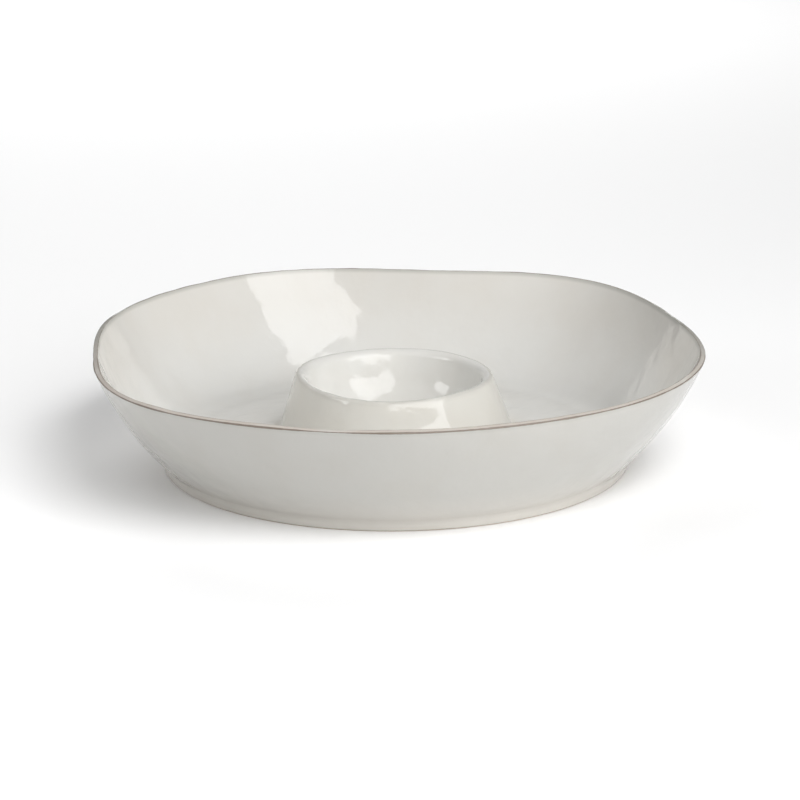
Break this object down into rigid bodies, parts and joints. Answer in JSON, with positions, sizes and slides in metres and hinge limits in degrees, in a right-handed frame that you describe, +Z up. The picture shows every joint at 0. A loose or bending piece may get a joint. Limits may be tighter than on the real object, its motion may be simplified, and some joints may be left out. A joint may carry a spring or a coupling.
{
  "type": "chip and dip server",
  "caption": "Wide shallow glazed stoneware bowl with a wavy lip and an integral dip cup standing in its middle, for serving chips round a dip.",
  "frame": {"origin": "on the table, under the middle of the bowl's outline", "axes": "+Z up out of the bowl, -Y towards the front of the server, +X to its right"},
  "size_m": [0.3252, 0.3214, 0.068],
  "materials": {
    "bowl_glaze": "warm white gloss glaze, rubbed brown along the edges of the lip",
    "cup_glaze": "warm white gloss glaze",
    "foot_clay": "glazed outside, bare matt clay on the face that stands on the table"
  },
  "bodies": {
    "root": {"bowl": "bowl_glaze", "dip_cup": "cup_glaze", "foot_ring": "foot_clay"}
  },
  "joints": []
}
